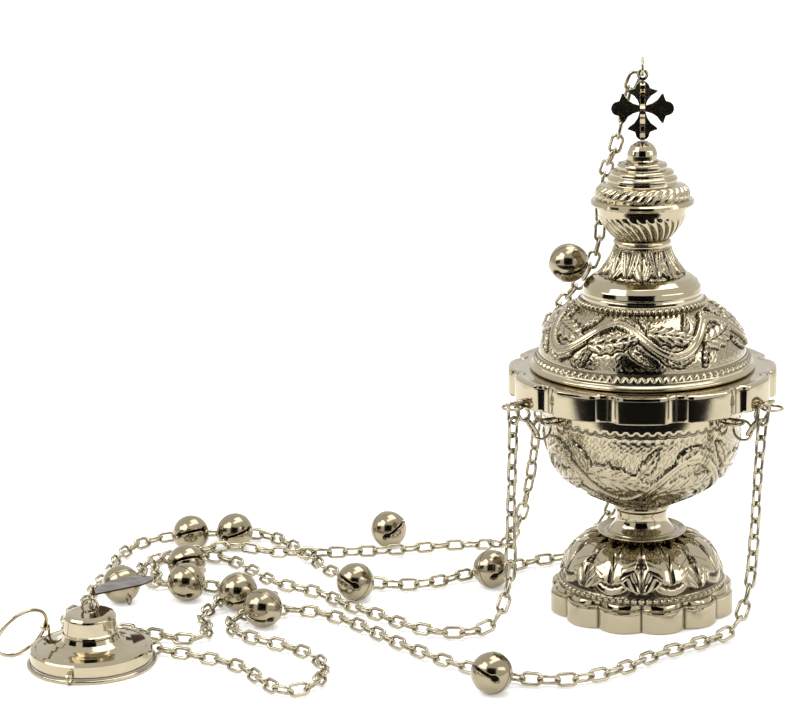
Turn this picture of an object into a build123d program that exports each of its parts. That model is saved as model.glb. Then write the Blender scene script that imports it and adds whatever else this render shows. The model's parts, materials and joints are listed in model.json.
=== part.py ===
"""Thurible: a gilded-brass incense burner on four chains with bells, laid out with its hand cap."""

import os
from math import cos, radians, sin, tan

from build123d import *

os.makedirs("parts", exist_ok=True)

# ---- driving dimensions, millimetres ------------------------------------
SHEET = 1.2  # wall of the spun and stamped brass
LOBES = 12  # scallops round the foot and the lid's brim
FOOT_RADIUS = 43.5
FOOT_HEIGHT = 11.0
STEP_TOP = 13.0
STEM_FOOT_Z = 38.5
STEM_TOP_Z = 48.0
BOWL_FOOT_Z = 51.5
BOWL_RIM_Z = 114.0
BOWL_RADIUS = 46.0
BRIM_RADIUS = 62.0
BRIM_LOW_Z = 104.5
BRIM_TOP_Z = 117.0
BAND_TOP_Z = 124.0
SHOULDER_Z = 146.5
COLLAR_Z = 160.0
NECK_Z = 173.0
LANTERN_Z = 176.5
FLANGE_Z = 192.0
TIERS_Z = 195.0
FINIAL_Z = 212.0
CROSS_Z = 221.0
CROSS_CENTRE_Z = 236.0
CROSS_REACH = 14.2
CROSS_TOP_REACH = 12.6
CROSS_PLATE = 2.2
EYE_Z = 251.2  # hole that holds the top ring
TOP_RING_RADIUS = 3.7
ROD_TOP_Z = 220.8
ROD_RADIUS = 2.5
NUT_ACROSS = 9.0

EYE_ANGLES = {"right": -30, "rear": 90, "left": 210}
WIRE = 1.3  # small rings
SMALL_RING_RADIUS = 4.6  # centre line of a bowl ring
STAPLE_REACH = 52.6
STAPLE_Z = 96.0
GUIDE_REACH = 66.6
GUIDE_Z = 105.2

CHAIN_TUBE = 6.0  # room a chain takes: its links are 7 mm wide
FLOOR_Z = 3.4  # centre line of a chain lying on the floor
BELL_RADIUS = 9.2
BELL_WALL = 0.8
BELL_LIFT = 0.05
PELLET_RADIUS = 2.2

CAP_CENTRE = (-245.5, -87.0)
CAP_TOP_Z = 24.0
CAP_RADIUS = 27.5
CAP_RIM_Z = 2.3
CAP_RIM_TOP_Z = 7.8
HOOP_WIRE = 2.0
HOOP_RADIUS = 28.2
FINGER_RING_RADIUS = 13.1
FINGER_WIRE = 1.7
TURN_SHARE = 0.45


def save(piece, name):
    """Label a finished piece and write it as its own file."""
    piece.part.label = name
    export_step(piece.part, f"parts/{name}.step")


def turned(outer, inner):
    """A turned shell: a smooth outer line, a smooth inner line, closed by flat ends."""
    with BuildPart() as piece:
        with BuildSketch(Plane.XZ):
            with BuildLine():
                outside = Spline(*outer)
                inside = Spline(*inner)
                Line(outside @ 0, inside @ 0)
                Line(outside @ 1, inside @ 1)
            make_face()
        revolve(axis=Axis.Z)
    return piece


def turned_steps(points):
    """A turned piece with straight-sided mouldings."""
    with BuildPart() as piece:
        with BuildSketch(Plane.XZ):
            with BuildLine():
                Polyline(*points, close=True)
            make_face()
        revolve(axis=Axis.Z)
    return piece


def scalloped(radius, lobe_radius, core):
    """Twelve round lobes on a plain disc, one lobe of them facing the front."""
    Circle(core)
    with PolarLocations(radius - lobe_radius, LOBES):
        Circle(lobe_radius)


def wire_ring(centre_radius, wire, plane):
    """A closed ring of round wire, lying in the given plane."""
    with BuildPart() as piece:
        with BuildSketch(Plane(plane.origin, x_dir=plane.x_dir, z_dir=-plane.y_dir)):
            with Locations((centre_radius, 0)):
                Circle(wire / 2)
        revolve(axis=Axis(plane.origin, plane.z_dir))
    return piece


def chain_tube(name, route):
    """The room of a limp chain: straight runs joined by arcs as large as the runs allow."""
    points = [Vector(*p) for p in route]
    radii = []
    for before, here, after in zip(points, points[1:], points[2:]):
        turn = (here - before).get_angle(after - here)
        shorter = min((here - before).length, (after - here).length)
        radii.append(TURN_SHARE * shorter / tan(radians(turn) / 2))
    with BuildPart() as piece:
        with BuildLine():
            path = FilletPolyline(*points, radius=radii)
        with BuildSketch(Plane(path @ 0, z_dir=path % 0)):
            Circle(CHAIN_TUBE / 2)
        sweep()
    tube_volume = 3.14159265 * (CHAIN_TUBE / 2) ** 2 * path.length
    print(name, "length", round(path.length, 1), "volume ratio", round(piece.part.volume / tube_volume, 4))
    print(name, "radii", [round(r, 1) for r in radii])
    save(piece, name)


# ---- foot ---------------------------------------------------------------
with BuildPart() as foot_plinth:
    with BuildSketch():
        scalloped(FOOT_RADIUS, 14.0, 40.6)
        Circle(37.0, mode=Mode.SUBTRACT)
    extrude(amount=FOOT_HEIGHT)
    with BuildSketch(Plane.XY.offset(FOOT_HEIGHT)):
        Circle(41.0)
        Circle(37.0, mode=Mode.SUBTRACT)
    extrude(amount=STEP_TOP - FOOT_HEIGHT, taper=20)
save(foot_plinth, "foot_plinth")

foot_dome = turned(
    [(38.6, STEP_TOP), (37.2, 17.0), (34.8, 23.0), (31.4, 28.5), (26.0, 32.4), (16.0, 34.5)],
    [(37.2, STEP_TOP), (35.8, 16.8), (33.4, 22.4), (30.2, 27.5), (25.3, 31.2), (16.0, 33.3)],
)
save(foot_dome, "foot_dome")

stem_collar = turned_steps(
    [(8.0, 34.6), (19.4, 34.6), (20.2, 35.6), (22.7, 37.2), (22.7, 37.9), (15.0, STEM_FOOT_Z),
        (8.0, STEM_FOOT_Z)]
)
save(stem_collar, "stem_collar")

stem = turned(
    [(15.2, STEM_FOOT_Z), (12.8, 41.5), (11.8, 44.6), (12.2, STEM_TOP_Z)],
    [(13.6, STEM_FOOT_Z), (11.3, 41.5), (10.4, 44.6), (10.8, STEM_TOP_Z)],
)
save(stem, "stem")

bowl_base_ring = turned_steps(
    [(3.0, STEM_TOP_Z), (12.6, STEM_TOP_Z), (13.2, 49.8), (12.4, BOWL_FOOT_Z), (3.0, BOWL_FOOT_Z)]
)
save(bowl_base_ring, "bowl_base_ring")

# ---- bowl ---------------------------------------------------------------
bowl = turned(
    [(3.0, BOWL_FOOT_Z), (12.5, 52.2), (20.8, 55.2), (32.0, 61.4), (39.8, 68.6), (44.4, 79.0),
     (BOWL_RADIUS, 91.0), (BOWL_RADIUS, BOWL_RIM_Z)],
    [(3.0, 53.0), (12.2, 53.7), (20.2, 56.6), (31.0, 62.6), (38.4, 69.6), (42.8, 79.4),
     (44.4, 91.2), (44.4, BOWL_RIM_Z)],
)
save(bowl, "bowl")

with BuildPart() as bowl_bolt:
    with BuildSketch(Plane.XY.offset(53.5)):
        RegularPolygon(NUT_ACROSS / 2, 6)
    extrude(amount=3.0)
    with BuildSketch(Plane.XY.offset(28.0)):
        Circle(ROD_RADIUS)
    extrude(amount=26.0)
save(bowl_bolt, "bowl_bolt")

with BuildPart() as foot_washer:
    with BuildSketch(Plane.XY.offset(31.6)):
        Circle(17.5)
        Circle(ROD_RADIUS + 0.3, mode=Mode.SUBTRACT)
    extrude(amount=1.5)
save(foot_washer, "foot_washer")

with BuildPart() as foot_nut:
    with BuildSketch(Plane.XY.offset(28.4)):
        RegularPolygon(NUT_ACROSS / 2, 6)
        Circle(ROD_RADIUS, mode=Mode.SUBTRACT)
    extrude(amount=3.1)
save(foot_nut, "foot_nut")


def eye_plane(angle, reach, height):
    """A level plane at the outer end of an eye, its X pointing away from the axis."""
    out = (cos(radians(angle)), sin(radians(angle)), 0)
    return Plane((reach * out[0], reach * out[1], height), x_dir=out, z_dir=(0, 0, 1))


with BuildPart() as bowl_staples:
    for side_angle in EYE_ANGLES.values():
        level = eye_plane(side_angle, STAPLE_REACH - 4.0, STAPLE_Z)
        with BuildLine(level):
            foot_in = Line((-3.4, -4.0), (0, -4.0))
            bow = ThreePointArc((0, -4.0), (4.0, 0), (0, 4.0))
            foot_out = Line((0, 4.0), (-3.4, 4.0))
        with BuildSketch(Plane(foot_in @ 0, z_dir=foot_in % 0)):
            Circle(0.75)
        sweep()
save(bowl_staples, "bowl_staples")

RING_DROP = SMALL_RING_RADIUS - WIRE / 2 - 0.75 - 0.12
for side, side_angle in EYE_ANGLES.items():
    out_dir = Vector(cos(radians(side_angle)), sin(radians(side_angle)), 0)
    ring_centre = out_dir * STAPLE_REACH - Vector(0, 0, 1) * (RING_DROP - STAPLE_Z)
    ring_plane = Plane(ring_centre, x_dir=out_dir, z_dir=out_dir.cross(Vector(0, 0, 1)))
    bowl_ring = wire_ring(SMALL_RING_RADIUS, WIRE, ring_plane)
    save(bowl_ring, f"bowl_ring_{side}")

charcoal_liner = turned(
    [(0.0, 62.0), (20.0, 62.6), (30.0, 66.4), (37.0, 74.0), (41.0, 84.0), (42.4, 95.0), (42.6, 112.0)],
    [(0.0, 63.2), (19.6, 63.9), (29.2, 67.6), (35.9, 74.8), (39.8, 84.4), (41.2, 95.2), (41.4, 112.0)],
)
save(charcoal_liner, "charcoal_liner")

# ---- lid ----------------------------------------------------------------
with BuildPart() as lid_brim:
    with BuildSketch(Plane.XY.offset(BRIM_LOW_Z)):
        scalloped(BRIM_RADIUS, 20.0, 58.6)
    extrude(amount=BRIM_TOP_Z - BRIM_LOW_Z)
    with BuildSketch(Plane.XY.offset(BRIM_LOW_Z)):
        scalloped(BRIM_RADIUS - SHEET, 18.8, 58.6 - SHEET)
    extrude(amount=BRIM_TOP_Z - BRIM_LOW_Z - SHEET, mode=Mode.SUBTRACT)
    with BuildSketch(Plane.XY.offset(BRIM_LOW_Z)):
        Circle(47.2)
    extrude(amount=BRIM_TOP_Z, mode=Mode.SUBTRACT)
save(lid_brim, "lid_brim")

lid_band = turned_steps(
    [(46.6, BRIM_TOP_Z), (51.6, BRIM_TOP_Z), (51.6, 118.6), (50.4, 119.4), (50.4, 120.6), (48.8, 121.4),
     (48.8, BAND_TOP_Z), (46.6, BAND_TOP_Z)]
)
save(lid_band, "lid_band")

lid_dome = turned(
    [(47.8, BAND_TOP_Z), (47.2, 127.6), (44.8, 133.2), (40.2, 139.0), (34.0, 143.6), (28.6, SHOULDER_Z)],
    [(46.6, BAND_TOP_Z), (46.0, 127.4), (43.8, 132.6), (39.3, 138.1), (33.4, 142.5), (28.2, 145.2)],
)
save(lid_dome, "lid_dome")

lid_shoulder = turned_steps(
    [(4.0, 149.0), (26.4, 149.0), (26.4, SHOULDER_Z), (28.6, SHOULDER_Z), (29.2, 147.6), (28.4, 149.4),
     (27.6, 149.6), (27.6, 151.4), (26.6, 155.6), (24.0, 158.8), (20.0, COLLAR_Z), (4.0, COLLAR_Z)]
)
save(lid_shoulder, "lid_shoulder")

leaf_collar = turned(
    [(19.6, COLLAR_Z), (17.4, 162.6), (14.8, 166.4), (13.0, 170.0), (12.2, NECK_Z)],
    [(18.2, COLLAR_Z), (16.2, 162.2), (13.6, 166.0), (11.8, 169.8), (11.0, NECK_Z)],
)
save(leaf_collar, "leaf_collar")

neck_ring = turned_steps(
    [(3.0, NECK_Z), (12.2, NECK_Z), (13.2, 174.2), (13.2, 175.4), (12.0, LANTERN_Z), (3.0, LANTERN_Z)]
)
save(neck_ring, "neck_ring")

lantern_bowl = turned(
    [(12.0, LANTERN_Z), (14.4, 179.0), (17.4, 182.8), (19.6, 187.0), (20.6, FLANGE_Z)],
    [(10.8, LANTERN_Z), (13.2, 179.4), (16.2, 183.2), (18.4, 187.2), (19.4, FLANGE_Z)],
)
save(lantern_bowl, "lantern_bowl")

lantern_flange = turned_steps(
    [(17.8, FLANGE_Z), (23.2, FLANGE_Z), (23.8, 192.8), (23.8, 194.2), (23.2, TIERS_Z), (17.8, TIERS_Z)]
)
save(lantern_flange, "lantern_flange")

lantern_tiers = turned_steps(
    [(3.0, 210.8), (9.6, 210.8), (9.6, 208.0), (13.0, 208.0), (13.0, 204.0), (17.4, 199.0), (19.6,
        197.0), (19.6, TIERS_Z),
     (21.2, TIERS_Z), (21.2, 197.4), (20.4, 199.4), (18.0, 201.6), (16.0, 202.4), (16.0, 204.6),
     (14.4, 206.2),
     (14.4, 207.6), (11.4, 208.8), (11.4, 211.2), (8.8, FINIAL_Z), (3.0, FINIAL_Z)]
)
save(lantern_tiers, "lantern_tiers")

finial_dome = turned_steps(
    [(3.0, FINIAL_Z), (6.9, FINIAL_Z), (6.9, 215.0), (6.2, 217.6), (4.8, 219.6), (3.0, CROSS_Z)]
)
save(finial_dome, "finial_dome")


def cross_blade():
    """One flat blade of the cross: four flared arms, each ending in a round between two points."""
    arm = CROSS_REACH - 3.2
    top_arm = CROSS_TOP_REACH - 3.2
    for turn, reach in ((0, arm), (90, top_arm), (180, arm), (270, arm)):
        with Locations(Location((0, 0, 0), (0, 0, turn))):
            with BuildLine(mode=Mode.PRIVATE) as outline:
                Polyline((0, -1.6), (reach * 0.45, -2.6), (reach, -6.0), (reach + 1.2, -3.2),
                         (reach + 1.2, 3.2), (reach, 6.0), (reach * 0.45, 2.6), (0, 1.6), close=True)
            add(make_face(outline.edges(), mode=Mode.PRIVATE))
        with Locations(Location((0, 0, 0), (0, 0, turn))):
            with Locations((reach + 0.2, 0)):
                Circle(3.0)
    with Locations((0, -CROSS_REACH - 0.4)):
        Rectangle(5.0, 1.2)


with BuildPart() as cross_front:
    with BuildSketch(Plane.XZ.offset(-CROSS_PLATE / 2).shift_origin((0, CROSS_PLATE / 2, CROSS_CENTRE_Z))):
        cross_blade()
        with Locations((0, EYE_Z - CROSS_CENTRE_Z)):
            Circle(2.7)
            Circle(1.5, mode=Mode.SUBTRACT)
    extrude(amount=CROSS_PLATE)
save(cross_front, "cross_front_blade")

with BuildPart() as cross_side:
    with BuildSketch(Plane.YZ.offset(-CROSS_PLATE / 2).shift_origin((-CROSS_PLATE / 2, 0, CROSS_CENTRE_Z))):
        cross_blade()
        Rectangle(CROSS_PLATE + 0.1, 40, mode=Mode.SUBTRACT)
    extrude(amount=CROSS_PLATE)
save(cross_side, "cross_side_blades")

top_ring = wire_ring(
    TOP_RING_RADIUS, WIRE, Plane((0, 0, EYE_Z + TOP_RING_RADIUS), x_dir=(0, 1, 0), z_dir=(1, 0, 0))
)
save(top_ring, "top_ring")

with BuildPart() as lid_tie_rod:
    with BuildSketch(Plane.XY.offset(143.6)):
        Circle(ROD_RADIUS)
    extrude(amount=ROD_TOP_Z - 143.6)
save(lid_tie_rod, "lid_tie_rod")

with BuildPart() as lid_nut:
    with BuildSketch(Plane.XY.offset(145.2)):
        RegularPolygon(NUT_ACROSS / 2, 6)
        Circle(ROD_RADIUS, mode=Mode.SUBTRACT)
    extrude(amount=3.6)
save(lid_nut, "lid_nut")

with BuildPart() as guide_lugs:
    for side_angle in EYE_ANGLES.values():
        level = eye_plane(side_angle, BRIM_RADIUS - 1.5, GUIDE_Z - 0.7)
        with BuildSketch(level):
            with Locations((1.2, 0)):
                Rectangle(2.2, 3.0)
        extrude(amount=1.4)
save(guide_lugs, "guide_lugs")

for side, side_angle in EYE_ANGLES.items():
    guide_ring = wire_ring(SMALL_RING_RADIUS, WIRE, eye_plane(side_angle, GUIDE_REACH + 0.7, GUIDE_Z))
    save(guide_ring, f"guide_ring_{side}")

# ---- bells --------------------------------------------------------------
LID_BELL = (-34.0, 14.0, 162.0)
FLOOR_BELLS = [
    (-64, -118), (-72, 24), (-136, 2), (-128, 86), (-228, 76), (-206, 80),
    (-222, 28), (-217, -1), (-190, -14), (-175, -37), (-248, -5),
]


def bell(centre, name):
    """A crotal bell: two pressed halves meeting at the middle, a cross slot with round ends,
        a wire loop."""
    upright = Plane(centre, x_dir=(1, 0, 0), z_dir=(0, -1, 0))
    below = Plane((centre[0], centre[1], centre[2] - BELL_RADIUS - 1), x_dir=(1, 0, 0), z_dir=(0, 0, 1))
    with BuildPart() as piece:
        with Locations(centre):
            Sphere(BELL_RADIUS)
            Sphere(BELL_RADIUS - BELL_WALL, mode=Mode.SUBTRACT)
        with BuildSketch(upright):
            with Locations((BELL_RADIUS - 0.1, 0)):
                Rectangle(1.2, 1.4)
        revolve(axis=Axis(centre, (0, 0, 1)))
        with BuildSketch(below):
            SlotCenterToCenter(11.0, 1.4)
            with Locations((-5.5, 0), (5.5, 0)):
                Circle(1.3)
        extrude(amount=6, mode=Mode.SUBTRACT)
    save(piece, name)


bell(LID_BELL, "bell_lid_chain")
for number, (bell_x, bell_y) in enumerate(FLOOR_BELLS, start=1):
    bell((bell_x, bell_y, BELL_RADIUS + BELL_LIFT), f"bell_{number:02d}")

with BuildPart() as bell_pellets:
    with Locations(*[(x, y, BELL_LIFT + BELL_WALL + PELLET_RADIUS + 0.4) for x, y in FLOOR_BELLS]):
        Sphere(PELLET_RADIUS)
save(bell_pellets, "bell_pellets")

lid_pellet_z = LID_BELL[2] - BELL_RADIUS + BELL_WALL + PELLET_RADIUS + 0.4
with BuildPart(Plane((LID_BELL[0], LID_BELL[1], lid_pellet_z))) as pellet:
    Sphere(PELLET_RADIUS)
save(pellet, "bell_lid_pellet")

# ---- hand cap -----------------------------------------------------------
cap_x, cap_y = CAP_CENTRE


def cap_plane(height):
    """A level plane on the hand cap's own axis."""
    return Plane((cap_x, cap_y, height))


with BuildPart() as cap_shell:
    with BuildSketch(Plane((cap_x, cap_y, 0), x_dir=(1, 0, 0), z_dir=(0, -1, 0))):
        with BuildLine():
            Polyline((2.2, CAP_TOP_Z), (10.4, CAP_TOP_Z), (11.6, 23.0), (12.0, 15.0), (13.0, 12.2),
                     (17.0, 9.6), (23.0, 8.4), (CAP_RADIUS, CAP_RIM_TOP_Z), (CAP_RADIUS, CAP_RIM_Z),
                     (26.3, CAP_RIM_Z), (26.3, 6.8), (22.6, 7.2), (16.4, 8.4), (11.9, 11.4), (10.8, 15.0),
                     (10.4, 22.0), (9.8, 22.8), (2.2, 22.8), close=True)
        make_face()
    revolve(axis=Axis((cap_x, cap_y, 0), (0, 0, 1)))
save(cap_shell, "cap_shell")

cap_hoop = wire_ring(HOOP_RADIUS, HOOP_WIRE, cap_plane(HOOP_WIRE / 2 + 0.01))
save(cap_hoop, "cap_hoop")

JUMP_ANGLES = (262, 142, 22)
with BuildPart() as cap_jump_rings:
    for jump_angle in JUMP_ANGLES:
        jump_out = Vector(cos(radians(jump_angle)), sin(radians(jump_angle)), 0)
        jump_centre = Vector(cap_x, cap_y, 3.2) + jump_out * 29.4
        with BuildSketch(Plane(jump_centre, x_dir=jump_out, z_dir=jump_out.cross(Vector(0, 0, 1)))):
            with Locations((0, 0)):
                Circle(3.1)
                Circle(2.1, mode=Mode.SUBTRACT)
        extrude(amount=0.5, both=True)
save(cap_jump_rings, "cap_jump_rings")

# The finger ring stands on the ground, leans on the cap, and turns in an eye on a short post.
FINGER_CENTRE = Vector(-277.8, -84.0, 12.65)
FINGER_LEAN = 26.7
ring_across = Vector(0.66, 0.75, 0).normalized()
ring_up = Vector(ring_across.Y, -ring_across.X, 0) * sin(radians(FINGER_LEAN)) + Vector(0, 0, 1) * cos(
    radians(FINGER_LEAN)
)
ring_hinge = FINGER_CENTRE + ring_across * FINGER_RING_RADIUS
print("finger ring hinge", ring_hinge, ring_up, ring_across.cross(ring_up))
finger_ring = wire_ring(
    FINGER_RING_RADIUS, FINGER_WIRE, Plane(FINGER_CENTRE, x_dir=ring_across,
        z_dir=ring_across.cross(ring_up))
)
save(finger_ring, "finger_ring")

EYE_HOLE_RADIUS = 1.2
EYE_RADIUS = 2.7
EYE_THICKNESS = 1.4
POST_SETBACK = 2.0
POST_RADIUS = 0.6
POST_FOOT_Z = 8.22
to_cap = (Vector(cap_x, cap_y, 0) - Vector(ring_hinge.X, ring_hinge.Y, 0)).normalized()
post_height = ring_hinge.Z - POST_FOOT_Z + 0.9
with BuildPart() as finger_eye:
    with BuildSketch(Plane(ring_hinge, x_dir=ring_across, z_dir=ring_up)):
        Circle(EYE_RADIUS)
        Circle(EYE_HOLE_RADIUS, mode=Mode.SUBTRACT)
    extrude(amount=EYE_THICKNESS / 2, both=True)
    with Locations(Vector(ring_hinge.X, ring_hinge.Y,
        POST_FOOT_Z + post_height / 2) + to_cap * POST_SETBACK):
        Cylinder(POST_RADIUS, post_height)
save(finger_eye, "finger_ring_eye")

cap_top_eye = wire_ring(3.6, WIRE, Plane((cap_x, cap_y + 1, 26.4), x_dir=(1, 0, 0), z_dir=(0, 1, 0)))
save(cap_top_eye, "cap_top_eye")

cap_link = wire_ring(4.8, WIRE, Plane((cap_x + 0.4, cap_y + 3.6, 29.5), x_dir=(0, 1, 0), z_dir=(1, 0, 0)))
save(cap_link, "cap_link_ring")

PLATE_TIP = Vector(-245.7, -81.05, 29.8)
PLATE_END = Vector(-229.0, -12.0, 17.0)
plate_dir = (PLATE_END - PLATE_TIP).normalized()
with BuildPart() as pull_plate:
    with BuildSketch(Plane(PLATE_TIP, x_dir=plate_dir, z_dir=Vector(0, 0, 1) - plate_dir * plate_dir.Z)):
        with BuildLine():
            Polyline((0, -1.6), (36.0, -8.6), (52.0, -7.0), (60.0, -2.4), (60.0, 2.4), (52.0, 7.0),
                     (36.0, 8.6), (0, 1.6), close=True)
        make_face()
        with Locations((2.6, 0), (57.0, 0)):
            Circle(0.9, mode=Mode.SUBTRACT)
    extrude(amount=0.8)
save(pull_plate, "pull_plate")

# ---- chains: routes chosen by hand --------------------------------------
chain_tube("chain_right", [
    (54, -35, 99.5), (52, -36, 74), (51, -36, 46), (49.5, -36, 22), (43, -46, FLOOR_Z),
    (27, -61, FLOOR_Z), (6, -77, FLOOR_Z), (-9, -98, FLOOR_Z), (-34, -113, FLOOR_Z),
    (-62, -106, FLOOR_Z), (-88, -88, FLOOR_Z), (-112, -64, FLOOR_Z), (-134, -37, FLOOR_Z),
    (-160, -20, FLOOR_Z), (-185, -27, FLOOR_Z), (-192, -47, FLOOR_Z), (-177, -63, FLOOR_Z),
    (-152, -76, FLOOR_Z), (-138, -96, FLOOR_Z), (-139, -120, FLOOR_Z), (-152, -131, FLOOR_Z),
    (-164, -117, FLOOR_Z), (-176, -98, FLOOR_Z), (-194, -88, FLOOR_Z), (-212, -82, FLOOR_Z),
])
chain_tube("chain_left", [
    (-58, -33, 99.5), (-59, -31, 74), (-60, -28, 46), (-60, -30, 22), (-66, -44, FLOOR_Z),
    (-84, -54, FLOOR_Z), (-105, -46, FLOOR_Z), (-122, -28, FLOOR_Z), (-138, -16, FLOOR_Z),
    (-154, 4, FLOOR_Z), (-176, 14, FLOOR_Z), (-190, 34, FLOOR_Z), (-206, 54, FLOOR_Z),
    (-228, 60, FLOOR_Z), (-246, 48, FLOOR_Z), (-246, 28, FLOOR_Z), (-236, 12, FLOOR_Z),
    (-214, 13, FLOOR_Z), (-198, 6, FLOOR_Z), (-200, -16, FLOOR_Z), (-206, -36, FLOOR_Z),
    (-196, -54, FLOOR_Z), (-204, -68, FLOOR_Z), (-222, -58, FLOOR_Z), (-240, -52, FLOOR_Z),
])
chain_tube("chain_rear", [
    (0, 66.5, 99.5), (-2, 67, 74), (-8, 66, 46), (-17, 65, 22), (-32, 62, FLOOR_Z), (-52, 56, FLOOR_Z),
    (-66, 42, FLOOR_Z), (-84, 34, FLOOR_Z), (-100, 18, FLOOR_Z), (-120, 14, FLOOR_Z), (-140, 24, FLOOR_Z),
    (-156, 38, FLOOR_Z), (-164, 58, FLOOR_Z), (-178, 78, FLOOR_Z), (-192, 94, FLOOR_Z),
    (-214, 95, FLOOR_Z), (-238, 92, FLOOR_Z), (-256, 76, FLOOR_Z), (-262, 52, FLOOR_Z),
    (-260, 28, FLOOR_Z), (-264, 6, FLOOR_Z), (-262, -18, FLOOR_Z), (-270, -38, FLOOR_Z), (-264,
    -55, FLOOR_Z),
])
chain_tube("lid_chain_lower", [
    (-48, 50, 108), (-50, 52, 82), (-53, 54, 54), (-58, 57, 28), (-66, 66, 8), (-80, 80, FLOOR_Z),
    (-100, 78, FLOOR_Z), (-120, 70, FLOOR_Z), (-144, 56, FLOOR_Z), (-166, 54, FLOOR_Z),
    (-188, 64, FLOOR_Z), (-206, 62, FLOOR_Z), (-238, 34, FLOOR_Z), (-236, 14, FLOOR_Z),
    (-230, -4, 9.0),
])
chain_tube("lid_chain_upper", [
    (-3, 5.4, 251.0), (-7, 8, 243), (-9, 8, 229), (-13, 12, 214), (-18, 22, 203), (-20, 23, 188),
    (-19, 20, 174), (-23, 25, 160), (-29, 31, 149), (-39, 41, 137), (-46, 49, 124), (-48, 50, 108.2),
])
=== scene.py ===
"""The looks of a gilt-brass thurible: chased relief, polished metal, linked chains and crotal bells."""

import json
from math import atan2, cos, hypot, pi, radians, sin

import bmesh
import bpy
import numpy as np
from mathutils import Matrix, Quaternion, Vector

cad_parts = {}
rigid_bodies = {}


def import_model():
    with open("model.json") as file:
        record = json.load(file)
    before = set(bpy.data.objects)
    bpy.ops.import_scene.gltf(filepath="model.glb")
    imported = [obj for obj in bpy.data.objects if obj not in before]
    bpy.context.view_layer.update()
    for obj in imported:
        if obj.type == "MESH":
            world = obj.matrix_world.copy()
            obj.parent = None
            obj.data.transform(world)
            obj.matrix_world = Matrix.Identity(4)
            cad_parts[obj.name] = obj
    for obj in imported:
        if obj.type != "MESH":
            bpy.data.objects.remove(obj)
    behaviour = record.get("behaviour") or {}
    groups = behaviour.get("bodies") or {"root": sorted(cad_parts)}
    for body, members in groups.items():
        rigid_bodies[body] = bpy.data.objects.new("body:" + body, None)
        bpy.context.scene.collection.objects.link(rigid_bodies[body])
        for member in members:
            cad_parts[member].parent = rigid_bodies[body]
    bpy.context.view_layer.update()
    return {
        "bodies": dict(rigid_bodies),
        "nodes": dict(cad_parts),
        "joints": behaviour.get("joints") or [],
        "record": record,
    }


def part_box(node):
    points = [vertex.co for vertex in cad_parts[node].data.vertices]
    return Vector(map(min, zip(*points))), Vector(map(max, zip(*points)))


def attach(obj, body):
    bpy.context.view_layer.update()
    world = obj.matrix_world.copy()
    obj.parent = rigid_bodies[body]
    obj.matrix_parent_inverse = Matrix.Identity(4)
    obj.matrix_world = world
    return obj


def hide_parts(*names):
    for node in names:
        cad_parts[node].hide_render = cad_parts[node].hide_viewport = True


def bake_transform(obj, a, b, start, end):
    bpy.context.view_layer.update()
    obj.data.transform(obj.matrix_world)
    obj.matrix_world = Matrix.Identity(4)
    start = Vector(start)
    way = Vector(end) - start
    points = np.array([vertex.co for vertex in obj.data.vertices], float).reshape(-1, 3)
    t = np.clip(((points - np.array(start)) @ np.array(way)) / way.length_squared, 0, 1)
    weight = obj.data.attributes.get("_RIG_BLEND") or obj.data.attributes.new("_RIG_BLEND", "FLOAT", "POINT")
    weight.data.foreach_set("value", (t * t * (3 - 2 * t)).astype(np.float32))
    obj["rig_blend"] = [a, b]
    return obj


bl_info = {
    "name": "Thurible maker",
    "version": (1, 0, 0),
    "blender": (4, 5, 0),
    "location": "3D View > Sidebar > Thurible",
    "description": "Builds the chased brass, chains and bells of a hand censer around its frame",
    "category": "Object",
}

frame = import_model()
MM = 0.001
SIDE_ANGLES = {"right": -30.0, "rear": 90.0, "left": 210.0}


# ---- sizes and colours a maker would change -------------------------------
class ThuribleSizes(bpy.types.PropertyGroup):
    lobes: bpy.props.IntProperty(name="Lobes", description="Scallops round the foot and brim", default=12)
    relief: bpy.props.FloatProperty(
        name="Relief", description="Height of the chased leaves, in millimetres", default=1.5
    )
    link_length: bpy.props.FloatProperty(
        name="Link length", description="Outer length of a chain link", default=0.0110, unit="LENGTH"
    )
    link_width: bpy.props.FloatProperty(
        name="Link width", description="Outer width of a chain link", default=0.0068, unit="LENGTH"
    )
    link_wire: bpy.props.FloatProperty(
        name="Link wire", description="Thickness of the link's wire", default=0.0017, unit="LENGTH"
    )
    gadroons: bpy.props.IntProperty(name="Gadroons", description="Ribs round the lantern", default=30)


class ThuribleColours(bpy.types.PropertyGroup):
    brass: bpy.props.StringProperty(name="Brass", description="Polished gilt, sRGB hex", default="B1A68C")
    # The recess colour is painted shade: dark brown laid into hollows, creases, cut lines and the bells' slits.
    recess_shade: bpy.props.StringProperty(name="Recess", description="Tarnish left in the hollows", default="1E140A")
    chain: bpy.props.StringProperty(name="Chain", description="Paler brass of the links", default="B2A991")
    bell: bpy.props.StringProperty(name="Bell", description="Tumbled brass of the bells", default="9C9178")
    sheet: bpy.props.StringProperty(name="Sheet", description="Dark sheet of the pull plate", default="46301A")
    soot: bpy.props.StringProperty(name="Soot", description="Burnt steel of the liner", default="2A2725")
    steel: bpy.props.StringProperty(name="Steel", description="Plain rod, nut and pellet", default="8D8B88")
    floor: bpy.props.StringProperty(name="Floor", description="White studio floor", default="FFFFFF")


def sizes():
    return bpy.context.scene.thurible_sizes


def colours():
    return bpy.context.scene.thurible_colours


def linear(hex_colour):
    """An sRGB hex value as the linear colour that a shader takes."""
    channels = [int(hex_colour[i:i + 2], 16) / 255 for i in (0, 2, 4)]
    return [c / 12.92 if c <= 0.04045 else ((c + 0.055) / 1.055) ** 2.4 for c in channels] + [1.0]


# ---- materials --------------------------------------------------------------
def add_node(tree, kind, settings=None, links=()):
    """One shader node with its settings, its unlinked inputs and its incoming links."""
    node = tree.nodes.new(kind)
    for key, value in (settings or {}).items():
        if key in node.inputs:
            node.inputs[key].default_value = value
        else:
            setattr(node, key, value)
    for socket, source in links:
        tree.links.new(source, node.inputs[socket])
    return node


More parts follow.
